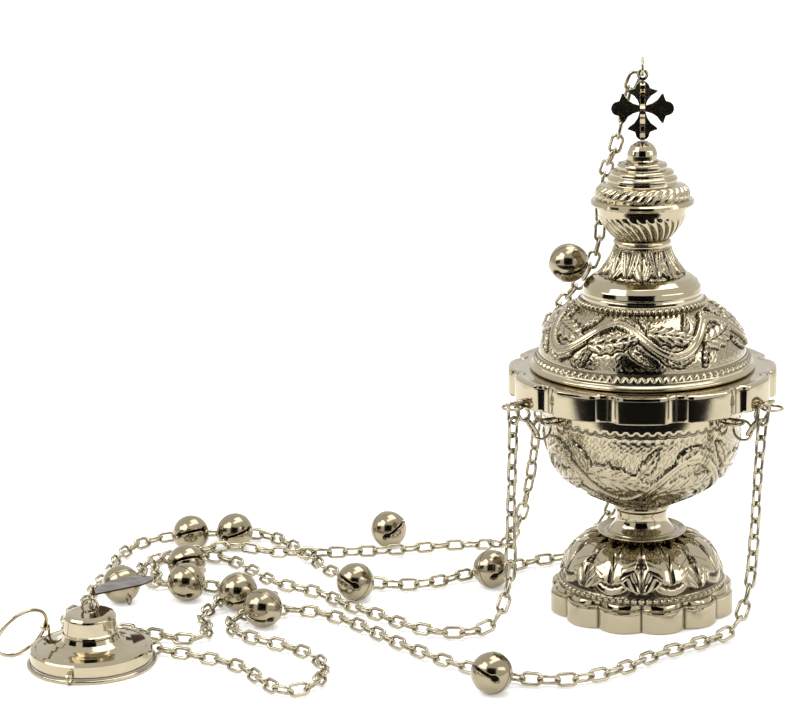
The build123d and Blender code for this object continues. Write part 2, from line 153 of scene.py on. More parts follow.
def metal(name, colour, shade_colour, roughness, wear, scratch_mm, depth_mm):
    """A metal with painted shade in its recesses, cloudy polish and fine scratches."""
    material = bpy.data.materials.new(name)
    material.use_nodes = True
    tree = material.node_tree
    shader = tree.nodes["Principled BSDF"]
    shader.inputs["Metallic"].default_value = 1.0
    place = add_node(tree, "ShaderNodeTexCoord")
    # Reads the painted shade laid into hollows, creases and cut lines.
    painted_shade = add_node(tree, "ShaderNodeAttribute", {"attribute_name": "recess_shade"})
    cloud = add_node(tree, "ShaderNodeTexNoise", {"Scale": 1 / (9 * MM), "Detail": 6.0, "Roughness": 0.6},
                     [("Vector", place.outputs["Object"])])
    tone = add_node(tree, "ShaderNodeMapRange", {"From Min": 0.35, "From Max": 0.75, "To Min": 0.0, "To Max": wear},
                    [("Value", cloud.outputs["Fac"])])
    # Painted shade or the random cloudy wear, whichever is stronger, darkens and roughens the metal.
    shade_and_wear = add_node(tree, "ShaderNodeMath", {"operation": "MAXIMUM", "use_clamp": True},
                       [(0, painted_shade.outputs["Fac"]), (1, tone.outputs["Result"])])
    tint = add_node(tree, "ShaderNodeMix", {"data_type": "RGBA"}, [("Factor", shade_and_wear.outputs[0])])
    tint.inputs[6].default_value = linear(colour)
    tint.inputs[7].default_value = linear(shade_colour)
    tree.links.new(tint.outputs[2], shader.inputs["Base Color"])
    polish = add_node(tree, "ShaderNodeMapRange",
                      {"From Min": 0.0, "From Max": 1.0, "To Min": roughness, "To Max": roughness + 0.32},
                      [("Value", shade_and_wear.outputs[0])])
    tree.links.new(polish.outputs["Result"], shader.inputs["Roughness"])
    hair = add_node(tree, "ShaderNodeMapping", {"Scale": (1.0, 1.0, 7.0)}, [("Vector", place.outputs["Object"])])
    scratch = add_node(tree, "ShaderNodeTexNoise", {"Scale": 1 / (scratch_mm * MM), "Detail": 3.0},
                       [("Vector", hair.outputs["Vector"])])
    bump = add_node(tree, "ShaderNodeBump", {"Strength": 0.35, "Distance": depth_mm * MM},
                    [("Height", scratch.outputs["Fac"])])
    tree.links.new(bump.outputs["Normal"], shader.inputs["Normal"])
    return material


def make_materials():
    """Every finish of the object, by the record's slot name."""
    c = colours()
    return {
        # Brass, pressed, gilded and buffed: mirror-bright, with warm brown painted shade in the hollows.
        "polished_gilt_brass": metal("gilt_brass_polished", c.brass, c.recess_shade, 0.07, 0.10, 0.9, 0.015),
        # Pressed brass, tumbled: a little cloudier than the buffed vessel.
        "bell_brass": metal("bell_brass_tumbled", c.bell, c.recess_shade, 0.13, 0.12, 0.6, 0.012),
        # Drawn wire, bent and barrel-polished: bright with soft edges.
        "chain_brass": metal("chain_wire_bright", c.chain, c.recess_shade, 0.16, 0.14, 0.8, 0.010),
        # Rolled sheet, unpolished: dull and brown.
        "dark_brass_sheet": metal("sheet_brass_dull", c.sheet, c.recess_shade, 0.30, 0.45, 0.5, 0.020),
        # Spun steel burnt by charcoal: almost black and rough.
        "sooty_steel": metal("liner_steel_burnt", c.soot, "0A0908", 0.55, 0.7, 0.5, 0.040),
        # Turned mild steel: grey satin.
        "plain_steel": metal("fixing_steel_turned", c.steel, "3B3835", 0.28, 0.3, 0.4, 0.010),
    }


MATERIALS = {}


def dress(piece, slot):
    """Gives a piece the finish of a slot."""
    piece.data.materials.clear()
    piece.data.materials.append(MATERIALS[slot])
    return piece


def finish_piece(bm, name, slot, body, nodes=(), smooth=True):
    """Turns a bmesh into a finished piece that rides on a body and stands for CAD nodes."""
    mesh = bpy.data.meshes.new(name)
    bm.to_mesh(mesh)
    bm.free()
    if smooth:
        mesh.shade_smooth()
    piece = bpy.data.objects.new(name, mesh)
    bpy.context.scene.collection.objects.link(piece)
    dress(piece, slot)
    if body:
        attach(piece, body)
    if nodes:
        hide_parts(*nodes)
    return piece


# ---- turned work with chased relief --------------------------------------------
def fine_line(points, spacing, curved):
    """Points along an outline about a spacing apart; a curved outline is a smooth line through them."""
    points = np.array(points, float)
    if curved:
        ends = np.vstack([2 * points[0] - points[1], points, 2 * points[-1] - points[-2]])
        line = [points[0]]
        for a, b, c, d in zip(ends, ends[1:], ends[2:], ends[3:]):
            for t in np.linspace(0, 1, 13)[1:]:
                line.append(0.5 * (2 * b + (c - a) * t + (2 * a - 5 * b + 4 * c - d) * t**2
                                   + (3 * b - a - 3 * c + d) * t**3))
        points = np.array(line)
    made = [points[0]]
    for a, b in zip(points, points[1:]):
        count = max(1, round(float(np.linalg.norm(b - a)) / spacing))
        made += [a + (b - a) * k / count for k in range(1, count + 1)]
    return np.array(made)


SECTORS = 16


def spun(bm, steps):
    """A closed outline spun a full turn: one sector is spun, and its copies are set round and joined."""
    bmesh.ops.spin(bm, geom=bm.verts[:] + bm.edges[:], cent=(0, 0, 0), axis=(0, 0, 1), angle=2 * pi / SECTORS,
                   steps=steps // SECTORS)
    sector = bpy.data.meshes.new("sector")
    bm.to_mesh(sector)
    bm.free()
    whole = bmesh.new()
    for _ in range(SECTORS):
        sector.transform(Matrix.Rotation(2 * pi / SECTORS, 4, "Z"))
        whole.from_mesh(sector)
    bpy.data.meshes.remove(sector)
    bmesh.ops.remove_doubles(whole, verts=whole.verts[:], dist=2e-6)
    bmesh.ops.recalc_face_normals(whole, faces=whole.faces[:])
    return whole


def turned(name, outer, inner, body, nodes, slot="polished_gilt_brass", steps=192, spacing=1.0,
           relief=None, curved=True, centre=(0.0, 0.0), smooth_inner=True):
    """A closed turned shell; relief(angle, run) gives the height of its outer face, in mm, and the painted shade in its
    hollows.
    """
    outer_line = fine_line(outer, spacing, curved)
    inner_line = fine_line(inner[::-1], 3.0, curved and smooth_inner)
    run = np.concatenate([[0], np.cumsum(np.linalg.norm(np.diff(outer_line, axis=0), axis=1))])
    bm = bmesh.new()
    layer = bm.verts.layers.float.new("run")
    loop = []
    for (r, z), s in zip(outer_line, run):
        vert = bm.verts.new((r * MM, 0, z * MM))
        vert[layer] = s + 1.0
        loop.append(vert)
    for r, z in inner_line:
        if r > 0.001:
            loop.append(bm.verts.new((r * MM, 0, z * MM)))
    for a, b in zip(loop, loop[1:] + loop[:1]):
        if (a.co - b.co).length > 1e-6:
            bm.edges.new((a, b))
    bm = spun(bm, steps)
    layer = bm.verts.layers.float["run"]
    bm.normal_update()
    painted_shade = None
    if relief:
        runs = np.array([v[layer] - 1.0 for v in bm.verts])
        places = np.array([v.co for v in bm.verts])
        normals = np.array([v.normal for v in bm.verts])
        angles = np.arctan2(places[:, 1], places[:, 0])
        height, painted_shade = relief(angles, runs, run[-1])
        outside = runs > -0.5
        places += normals * (np.where(outside, height, 0.0) * MM)[:, None]
        # The inner face gets a flat painted shade of 0.6.
        painted_shade = np.where(outside, painted_shade, 0.6)
        for vert, place in zip(bm.verts, places):
            vert.co = place
    bmesh.ops.translate(bm, verts=bm.verts[:], vec=(centre[0], centre[1], 0))
    bm.verts.layers.float.remove(layer)
    piece = finish_piece(bm, name, slot, body, nodes)
    if painted_shade is not None:
        attribute = piece.data.attributes.new("recess_shade", "FLOAT", "POINT")
        attribute.data.foreach_set("value", np.clip(painted_shade, 0, 1).astype(np.float32))
    piece.data.set_sharp_from_angle(angle=radians(32 if not relief else 75))
    return piece


def wrap(value, period):
    """A value brought to within half a period of zero."""
    return (value + period / 2) % period - period / 2


def dome(distance, half_width):
    """The height of a round ridge: one at its middle, nought at its edge."""
    return np.sqrt(np.clip(1 - (distance / half_width) ** 2, 0, 1))


def beads(angle, run, at, count, radius, mean_radius):
    """A row of round punched beads."""
    along = wrap(angle, 2 * pi / count) * mean_radius
    return radius * dome(np.hypot(along, run - at), radius)


def leaf(u, v, root, direction, length, width, bend=0.0, teeth=5):
    """A chased leaf: a domed toothed blade with a sunk midrib and slanting veins, and the line cut round it."""
    c, s = cos(radians(direction)), sin(radians(direction))
    along = (u - root[0]) * c + (v - root[1]) * s
    across = -(u - root[0]) * s + (v - root[1]) * c - bend * along**2
    t = np.clip(along / length, 1e-4, 1 - 1e-4)
    edge = width * np.sin(pi * t**0.75) ** 0.7 * (1 - 0.26 * np.abs(np.sin(teeth * pi * t + 0.9 * np.sign(across))))
    near = (along > -0.6) & (along < length + 0.6)
    inside = near & (np.abs(across) < edge)
    swell = dome(across, edge + 1e-6)
    vein = np.cos(2 * pi * (along - 1.2 * np.abs(across)) / (length / teeth))
    rib = np.exp(-((across / 0.38) ** 2))
    height = np.where(inside, 0.45 + 0.60 * swell + 0.13 * vein * swell - 0.5 * rib, 0.0)
    line = near & ~inside & (np.abs(across) < edge + 0.75)
    cut = np.where(line, 1.0, 0.0) + np.where(inside, 0.85 * rib + 0.8 * (vein < -0.86) * (np.abs(across) > 0.25 * edge) * (np.abs(across) < 0.8 * edge), 0.0)
    return height, cut


def overlay(*motifs):
    """The highest of several motifs at each place, and the cut lines that stay uncovered."""
    height, cut = motifs[0]
    for other, other_cut in motifs[1:]:
        above = other > height
        cut = np.where(above, other_cut, np.where(height > 0.05, cut, np.maximum(cut, other_cut)))
        height = np.maximum(height, other)
    return height, cut


def ground(u, v):
    """The matted ground behind the leaves: close uneven punch marks, 0 to 1."""
    marks = np.sin(4.1 * u + 1.9 * np.sin(1.7 * v)) * np.sin(4.3 * v + 2.1 * np.sin(1.3 * u))
    return 0.5 + 0.5 * marks


def stem(u, v, period, middle, swing, width):
    """A waving band of two cords, with the line cut along each side."""
    phase = 2 * pi * u / period
    slope = 2 * pi * swing / period * np.cos(phase)
    away = np.abs(v - middle - swing * np.sin(phase)) / np.sqrt(1 + slope**2)
    height = np.where(away < width, 0.75 + 0.30 * dome(away - width * 0.5, width * 0.5), 0.0)
    cut = np.where((away >= width) & (away < width + 0.7), 1.0, 0.0) + 0.6 * np.exp(-((away / 0.25) ** 2))
    return height, cut


def vine(u, v, period, middle, swing):
    """A waving stem with a great leaf in the hollow of each wave and small leaves outside it."""
    motifs = []
    for shift, up in ((0.0, 1), (0.5, -1)):
        local = wrap(u - (shift + 0.25) * period, period) + 0.25 * period
        low = middle - up * 0.42 * swing
        motifs += [
            leaf(local, v, (0.02 * period, low), 6 * up, period * 0.47, swing * 0.66, 0.004 * up, 5),
            leaf(local, v, (0.13 * period, middle + up * swing * 0.95), 28 * up, period * 0.20, swing * 0.30, 0.0, 4),
            leaf(local, v, (0.40 * period, middle + up * swing * 0.90), 150 * up, period * 0.17, swing * 0.26, 0.0, 4),
            leaf(local, v, (-0.12 * period, middle + up * swing * 0.40), 48 * up, period * 0.24, swing * 0.26, 0.01, 4),
            leaf(local, v, (0.55 * period, middle + up * swing * 0.55), 115 * up, period * 0.22, swing * 0.25, 0.01, 4),
        ]
    motifs.append(stem(u, v, period, middle, swing, 2.0))
    return overlay(*motifs)


def chased(drawing, u, v, relief):
    """Turns a drawing of raised work and cut lines into a height over its matted ground and a painted shade in the cut
    lines and low punch marks.
    """
    height, cut = drawing
    bare = height < 0.05
    grain = ground(u, v)
    level = relief * np.clip(height, 0, 1.3) + np.where(bare, 0.22 * grain - 0.25, 0.0) - 0.35 * np.clip(cut, 0, 1)
    # Painted shade in the lowest punch marks of the ground, and darker still in the cut lines.
    painted_shade = np.where(bare, 0.55 * (grain < 0.42), 0.0)
    return level, np.clip(np.maximum(painted_shade, 0.95 * cut), 0, 0.95)


def lid_relief(angle, run, total):
    """Vine scroll round the lid's dome, with plain margins."""
    u = (angle + 0.92) * 44
    height, painted_shade = chased(vine(u, run, 2 * pi * 44 / 5, total * 0.50, total * 0.27), u, run, sizes().relief)
    margin = np.clip(np.minimum(run - 0.6, total - 0.6 - run) / 1.0, 0, 1)
    return height * margin, painted_shade * margin


def bowl_relief(angle, run, total):
    """Small festoons under the rim, vine scroll round the belly and long leaves under it."""
    u = (angle - 0.15) * 44
    top = total - 20.5
    belly = vine(u, run, 2 * pi * 44 / 4, total * 0.50, total * 0.145)
    under = petal_row(angle, run, total * 0.06, total * 0.30, 14)
    height, painted_shade = chased(overlay(belly, under), u, run, 0.8)
    inside = np.clip(np.minimum(run - 2.0, top - run) / 0.8, 0, 1)
    height, painted_shade = height * inside, painted_shade * inside
    arches = 60
    swag = wrap(angle, 2 * pi / arches) * arches / (2 * pi)
    arc = np.hypot(swag * 4.8, (run - (top + 3.0)) * 1.1)
    groove = np.exp(-(((arc - 2.1) / 0.40) ** 2)) * (run < top + 3.0) * (run > top - 0.5)
    # Painted shade in the festoon grooves under the rim.
    return height - 0.45 * groove, np.maximum(painted_shade, 0.95 * groove)


def petal_row(angle, run, low, high, count, shift=0.0):
    """Pointed ribbed petals standing side by side, their points at the higher end of the run."""
    across = wrap(angle + shift, 2 * pi / count) * count / (2 * pi)
    t = np.clip((run - low) / (high - low), 0, 1)
    half = 0.49 * np.sqrt(np.clip(1 - t**2.2, 0, 1)) * (0.72 + 0.28 * np.sin(pi * np.clip(t + 0.25, 0, 1)))
    within = (run > low) & (run < high)
    inside = (np.abs(across) < half) & within
    lines = np.cos(2 * pi * (np.abs(across) * 7.0 + t * 1.6))
    rib = np.exp(-((across / 0.035) ** 2))
    height = np.where(inside, 0.5 + 0.5 * dome(across, half + 1e-6) + 0.10 * lines - 0.35 * rib, 0.0)
    edge = within & ~inside & (np.abs(across) < half + 0.06)
    cut = np.where(edge, 1.0, 0.0) + np.where(inside, 0.8 * rib + 0.6 * (lines < -0.85), 0.0)
    return height, cut


def heart_row(angle, run, low, high, count, shift):
    """Heart-shaped leaves: a round lower edge in a raised frame, and two ribbed wings parted by a deep notch."""
    across = wrap(angle + shift, 2 * pi / count) * count / (2 * pi)
    t = (run - low) / (high - low)
    span = (across / 0.47) ** 2
    low_edge = 1 - np.sqrt(np.clip(1 - span, 0, 1))
    frame = (t > 0.75 * low_edge) & (span < 1) & (t < 1)
    wing_low = 0.20 + 0.75 * low_edge
    wing_high = 0.93 - 0.85 * np.clip(0.16 - np.abs(across), 0, 1) / 0.16 * 0.55 - 0.5 * np.clip(np.abs(across) - 0.3, 0, 1)
    wing = (t > wing_low) & (t < wing_high) & (span < 0.85)
    lines = np.cos(2 * pi * (np.abs(across) * 2.0 - t * 3.0) * 2.2)
    rib = np.exp(-((across / 0.03) ** 2))
    height = np.where(wing, 0.95 + 0.25 * dome(np.abs(across) - 0.2, 0.26) - 0.3 * rib, np.where(frame, 0.55, 0.0))
    border = frame & ~wing & ((t < wing_low) & (t > wing_low - 0.07) | (t > wing_high) & (t < wing_high + 0.08))
    cut = np.where(wing, 0.75 * rib + 0.6 * (lines < -0.85) * (t < 0.66) * (np.abs(across) > 0.16), 0.0) + np.where(border, 1.0, 0.0)
    outside = ~frame & (t < 0.75 * low_edge) & (t > 0.75 * low_edge - 0.09) & (t > -0.05)
    return height, cut + np.where(outside, 1.0, 0.0)


def foot_relief(angle, run, total):
    """Heart-shaped ribbed leaves with small leaves between, over a row of dots."""
    hearts = heart_row(angle, run, 3.6, total * 0.80, 8, radians(22.5))
    small = petal_row(angle, total - run, total * 0.52, total * 0.86, 8)
    upper = petal_row(angle, run, total * 0.66, total * 0.97, 16)
    drawing = overlay(hearts, small, upper)
    height, painted_shade = chased(drawing, angle * 33, run, 1.7)
    # Painted shade: the bare ground between the heart leaves is made nearly black.
    painted_shade = np.where((drawing[0] < 0.05) & (run < total * 0.72), 0.92, painted_shade)
    margin = np.clip(np.minimum(run - 2.8, total - 0.4 - run) / 0.7, 0, 1)
    dots = beads(angle, run, 1.4, 72, 1.0, 38.2)
    # Painted shade in the gaps between the dots of the lower row.
    return height * margin + dots, painted_shade * margin + np.where((run < 2.8) & (dots < 0.1), 0.6, 0)


def collar_relief(angle, run, total):
    """Broad ribbed leaves falling from the neck."""
    first = petal_row(angle, total - run, total * 0.05, total * 0.90, 8, radians(22.5))
    second = petal_row(angle, total - run, total * 0.30, total * 0.99, 8)
    return chased(overlay((first[0] * 1.2, first[1]), second), angle * 15, run, 1.1)


def flutes(count, slant, depth, low, high):
    """Round slanting ribs with painted shade in the lines between them."""
    def relief(angle, run, total):
        share = np.clip(run / total, 0, 1)
        across = wrap(angle + slant * share, 2 * pi / count) * count / (2 * pi)
        fade = np.clip(np.minimum((share - low) / 0.08, (high - share) / 0.08), 0, 1)
        rib = dome(across, 0.5)
        return depth * (rib - 0.55) * fade, np.clip(0.75 - 1.25 * rib, 0, 1) * fade
    return relief


def lobe_radius(angle, radius, lobe, core, phase):
    """Round lobes meeting in sharp creases over a plain core, less the whole radius."""
    turn = wrap(angle - phase, 2 * pi / sizes().lobes)
    middle = radius - lobe
    reach = middle * np.cos(turn) + np.sqrt(np.clip(lobe**2 - (middle * np.sin(turn)) ** 2, 0, None))
    return np.maximum(reach, core) - radius


def fluted_radius(angle, radius, flute, core, phase):
    """Broad plain panels parted by hollow flutes, less the whole radius."""
    away = (pi / sizes().lobes - np.abs(wrap(angle - phase, 2 * pi / sizes().lobes))) * radius
    groove = (radius - core) * np.sqrt(np.clip(1 - (away / flute) ** 2, 0, 1))
    return -groove - 1.1 * np.clip(1 - (away - flute) / 4.5, 0, 1) ** 2


def scalloped(name, outline, edge, radius, lobe, core, phase, flat_from, body, node):
    """A turned band whose wall is pushed out into lobes; its inner edge stays round."""
    bm = bmesh.new()
    line = fine_line(outline, 0.9, False)
    loop = [bm.verts.new((r * MM, 0, z * MM)) for r, z in line[:-1]]
    for a, b in zip(loop, loop[1:] + loop[:1]):
        bm.edges.new((a, b))
    bm = spun(bm, 480)
    places = np.array([v.co for v in bm.verts])
    reach = np.hypot(places[:, 0], places[:, 1]) / MM
    share = np.clip((reach - flat_from) / (radius - 2.6 - flat_from), 0, 1)
    angles = np.arctan2(places[:, 1], places[:, 0])
    notch = edge(angles, radius, lobe, core, phase)
    places[:, :2] *= (1 + notch * share / reach)[:, None]
    # Painted shade in the creases where the lobes meet.
    crease = np.exp(-((wrap(angles - phase - pi / sizes().lobes, 2 * pi / sizes().lobes) * radius / 0.55) ** 2))
    top = places[:, 2].max() / MM
    # A darker band in stripes just under the top edge.
    lip = np.exp(-(((places[:, 2] / MM - top + 2.4) / 0.9) ** 2)) * (0.5 + 0.5 * np.sin(angles * 31))
    painted_shade = (crease * 0.75 + lip * 0.28) * (share > 0.9)
    for vert, place in zip(bm.verts, places):
        vert.co = place
    piece = finish_piece(bm, name, "polished_gilt_brass", body, [node])
    attribute = piece.data.attributes.new("recess_shade", "FLOAT", "POINT")
    attribute.data.foreach_set("value", np.clip(painted_shade, 0, 1).astype(np.float32))
    piece.data.set_sharp_from_angle(angle=radians(30))
    return piece


# ---- the vessel -----------------------------------------------------------------
def make_foot():
    scalloped(
        "foot_plinth_cast",
        [(37.0, 0.0), (42.6, 0.0), (43.5, 0.8), (43.5, 9.4), (43.2, 10.4), (42.4, 11.0), (41.2, 11.1), (40.9, 12.0),
         (40.3, 12.8), (39.4, 13.0), (37.0, 13.0), (37.0, 0.0)],
        lobe_radius, 43.5, 13.0, 39.2, radians(15), 38.5, "root", "foot_plinth",
    )
    turned(
        "foot_dome_chased",
        [(38.6, 13.0), (37.2, 17.0), (34.8, 23.0), (31.4, 28.5), (26.0, 32.4), (16.0, 34.5)],
        [(37.2, 13.0), (35.8, 16.8), (33.4, 22.4), (30.2, 27.5), (25.3, 31.2), (16.0, 33.3)],
        "root", ["foot_dome"], steps=512, spacing=0.45, relief=foot_relief,
    )

    def toothed(angle, run, total):
        edge = np.exp(-(((run - 10.6) / 1.1) ** 2))
        dish = np.clip((run - 14.5) / 1.0, 0, 1) * 0.22
        # Painted shade between the teeth of the beaded edge, and a light painted shade over the hollow top of the
        # collar.
        return 0.5 * edge * np.cos(40 * angle), np.maximum(0.9 * edge * (np.cos(40 * angle) < 0.2), dish)
    turned(
        "stem_collar_beaded",
        [(8.0, 34.6), (17.2, 34.6), (18.0, 35.2), (19.4, 36.4), (20.6, 37.6), (20.8, 38.1), (20.4, 38.4), (19.6, 38.0),
         (17.9, 37.2), (16.2, 37.3), (15.3, 38.5)],
        [(8.0, 34.6), (8.0, 38.5)],
        "root", ["stem_collar"], steps=432, spacing=0.5, relief=toothed, curved=False,
    )
    turned(
        "stem_polished",
        [(15.2, 38.5), (12.8, 41.5), (11.8, 44.6), (12.2, 48.0)],
        [(13.6, 38.5), (11.3, 41.5), (10.4, 44.6), (10.8, 48.0)],
        "root", ["stem"], spacing=0.6,
    )
    turned(
        "bowl_base_moulding",
        [(3.0, 48.0), (12.4, 48.0), (13.0, 48.7), (13.3, 49.8), (13.0, 50.8), (12.4, 51.5)],
        [(3.0, 48.0), (3.0, 51.5)],
        "root", ["bowl_base_ring"], spacing=0.5, curved=False,
    )


def make_bowl():
    turned(
        "bowl_chased",
        [(3.0, 51.5), (12.5, 52.2), (20.8, 55.2), (32.0, 61.4), (39.8, 68.6), (44.4, 79.0), (46.0, 91.0), (46.0, 114.0)],
        [(3.0, 53.0), (12.2, 53.7), (20.2, 56.6), (31.0, 62.6), (38.4, 69.6), (42.8, 79.4), (44.4, 91.2), (44.4, 114.0)],
        "root", ["bowl"], steps=512, spacing=0.68, relief=bowl_relief,
    )


def make_lid():
    scalloped(
        "lid_brim_scalloped",
        [(47.2, 115.7), (59.6, 115.7), (60.8, 114.9), (60.8, 104.5), (61.6, 104.5), (62.0, 105.0), (62.0, 115.6),
         (61.6, 116.5), (60.6, 117.0), (58.6, 117.0), (57.6, 116.6), (47.2, 116.6), (47.2, 115.7)],
        fluted_radius, 62.0, 4.4, 60.0, radians(30), 50.0, "lid", "lid_brim",
    )

    def lower_beads(angle, run, total):
        row = beads(angle, run, total - 2.6, 84, 1.35, 48.8)
        # Painted shade round and between the beads.
        return row, np.where((run > total - 4.2) & (row < 0.15), 0.55, 0.0)
    turned(
        "lid_band_beaded",
        [(51.6, 117.0), (51.9, 117.8), (51.4, 118.7), (50.4, 119.3), (50.3, 120.5), (49.6, 121.2), (48.8, 121.4),
         (48.4, 124.0)],
        [(46.6, 117.0), (46.6, 124.0)],
        "lid", ["lid_band"], steps=576, spacing=0.45, relief=lower_beads, curved=False,
    )
    turned(
        "lid_dome_chased",
        [(47.8, 124.0), (47.2, 127.6), (44.8, 133.2), (40.2, 139.0), (34.0, 143.6), (28.6, 146.5)],
        [(46.6, 124.0), (46.0, 127.4), (43.8, 132.6), (39.3, 138.1), (33.4, 142.5), (28.2, 145.2)],
        "lid", ["lid_dome"], steps=640, spacing=0.45, relief=lid_relief,
    )

    def upper_beads(angle, run, total):
        row = beads(angle, run, 1.5, 64, 1.1, 28.9)
        # Painted shade round and between the beads.
        return row, np.where((run < 3.0) & (row < 0.15), 0.55, 0.0)
    turned(
        "lid_shoulder_polished",
        [(28.6, 146.5), (28.9, 147.8), (28.5, 149.3), (27.7, 149.6), (27.7, 151.2), (27.2, 151.6), (27.4, 152.6),
         (26.9, 155.0), (25.4, 157.4), (22.9, 159.2), (20.0, 160.0)],
        [(26.4, 146.5), (26.4, 149.0), (4.0, 149.0), (4.0, 160.0)],
        "lid", ["lid_shoulder"], steps=512, spacing=0.45, relief=upper_beads, curved=False,
    )
    turned(
        "leaf_collar_chased",
        [(19.6, 160.0), (17.4, 162.6), (14.8, 166.4), (13.0, 170.0), (12.2, 173.0)],
        [(18.2, 160.0), (16.2, 162.2), (13.6, 166.0), (11.8, 169.8), (11.0, 173.0)],
        "lid", ["leaf_collar"], steps=320, spacing=0.4, relief=collar_relief,
    )
    turned(
        "neck_moulding",
        [(3.0, 173.0), (12.2, 173.0), (12.9, 173.4), (13.3, 174.3), (13.3, 175.3), (12.9, 176.1), (12.0, 176.5)],
        [(3.0, 173.0), (3.0, 176.5)],
        "lid", ["neck_ring"], spacing=0.4, curved=False,
    )


def make_lantern():
    ribs = sizes().gadroons
    turned(
        "lantern_bowl_fluted",
        [(12.0, 176.5), (14.4, 179.0), (17.4, 182.8), (19.6, 187.0), (20.6, 192.0)],
        [(10.8, 176.5), (13.2, 179.4), (16.2, 183.2), (18.4, 187.2), (19.4, 192.0)],
        "lid", ["lantern_bowl"], steps=480, spacing=0.45, relief=flutes(ribs, 0.42, 1.0, 0.02, 0.80),
    )
    turned(
        "lantern_flange_rolled",
        [(17.8, 192.0), (22.6, 192.0), (23.4, 192.3), (23.9, 193.2), (23.6, 194.3), (22.8, 195.0), (21.2, 195.0)],
        [(17.8, 192.0), (17.8, 195.0)],
        "lid", ["lantern_flange"], spacing=0.4, curved=False,
    )

    def skirt(angle, run, total):
        share = run / 7.6
        across = wrap(angle - 0.30 * share, 2 * pi / ribs) * ribs / (2 * pi)
        fade = np.clip(np.minimum((share - 0.08) / 0.1, (0.98 - share) / 0.1), 0, 1)
        rib = dome(across, 0.5)
        # Painted shade in the lines between the gadroons.
        return 1.1 * (rib - 0.6) * fade, np.clip(0.75 - 1.25 * rib, 0, 1) * fade
    turned(
        "lantern_tiers_gadrooned",
        [(21.2, 195.0), (21.4, 197.4), (20.8, 199.4), (18.6, 201.4), (16.4, 202.2), (16.4, 202.6), (16.1, 203.2),
         (16.1, 204.4), (15.4, 205.4), (14.5, 205.9), (14.5, 207.2), (13.6, 208.2), (11.5, 208.8), (11.5, 210.4),
         (10.8, 211.4), (8.8, 212.0)],
        [(19.6, 195.0), (19.6, 197.0), (17.4, 199.0), (13.0, 204.0), (13.0, 208.0), (9.6, 208.0), (9.6, 210.8),
         (3.0, 210.8), (3.0, 212.0)],
        "lid", ["lantern_tiers"], steps=480, spacing=0.45, relief=skirt, curved=False,
    )
    turned(
        "finial_dome_polished",
        [(3.0, 212.0), (7.2, 212.0), (7.4, 212.6), (6.9, 213.0), (6.9, 215.2), (6.3, 217.4), (5.2, 219.2), (3.4, 220.5),
         (2.4, 221.0)],
        [(2.4, 212.0), (2.4, 221.0)],
        "lid", ["finial_dome"], spacing=0.4, curved=False,
    )


# ---- the cross -----------------------------------------------------------------
def arm_outline(reach):
    """An arm of the cross from one root to the other: a flare to a cusp, and a round end."""
    side = [(1.5, 1.4), (4.2, 2.2), (6.6, 3.8), (8.4, 6.3), (9.3, 6.9), (9.7, 5.5), (10.5, 3.4)]
    side = [(x * reach / 14.2, y) for x, y in side]
    end = [(reach - 3.2 + 3.2 * cos(radians(a)), 3.2 * sin(radians(a))) for a in (-60, -36, -12, 12, 36, 60)]
    return [(x, -y) for x, y in side] + end + side[::-1]


def make_cross():
    """Two flat blades crossing at the middle, cut from thick sheet and filed at the edges."""
    thick = 2.2 * MM
    centre_z = 0.236
    reaches = (14.2, 12.4, 14.2, 14.4)
    for name, node, turn in (("cross_blade_front", "cross_front_blade", 0), ("cross_blade_side", "cross_side_blades", 90)):
        bm = bmesh.new()
        outline = []
        for quarter, reach in enumerate(reaches):
            c, s = cos(quarter * pi / 2), sin(quarter * pi / 2)
            outline += [(x * c - y * s, x * s + y * c) for x, y in arm_outline(reach)]
        flat = [bm.verts.new((x * MM, -thick / 2, z * MM + centre_z)) for x, z in outline]
        bm.faces.new(flat)
        grown = bmesh.ops.extrude_face_region(bm, geom=bm.faces[:])
        bmesh.ops.translate(bm, verts=[g for g in grown["geom"] if isinstance(g, bmesh.types.BMVert)], vec=(0, thick, 0))
        bmesh.ops.recalc_face_normals(bm, faces=bm.faces[:])
        bmesh.ops.rotate(bm, cent=(0, 0, 0), matrix=Matrix.Rotation(radians(turn), 3, "Z"), verts=bm.verts[:])
        rims = [e for e in bm.edges if e.calc_face_angle(0) > radians(60)]
        bmesh.ops.bevel(bm, geom=rims, offset=0.25 * MM, segments=2, profile=0.5, affect="EDGES", material=-1,
                        clamp_overlap=True)
        if turn == 0:
            eye = bmesh.ops.create_circle(bm, segments=10, radius=0.75 * MM)["verts"]
            bmesh.ops.rotate(bm, cent=(0, 0, 0), matrix=Matrix.Rotation(pi / 2, 3, "Y"), verts=eye)
            bmesh.ops.translate(bm, verts=eye, vec=(0, 0, 0.2512 + 2.0 * MM))
            rim = list({e for v in eye for e in v.link_edges})
            bmesh.ops.spin(bm, geom=eye + rim, cent=(0, 0, 0.2512), axis=(0, 1, 0), angle=2 * pi, steps=24,
                           use_merge=True)
        finish_piece(bm, name, "polished_gilt_brass", "lid", [node], smooth=False)


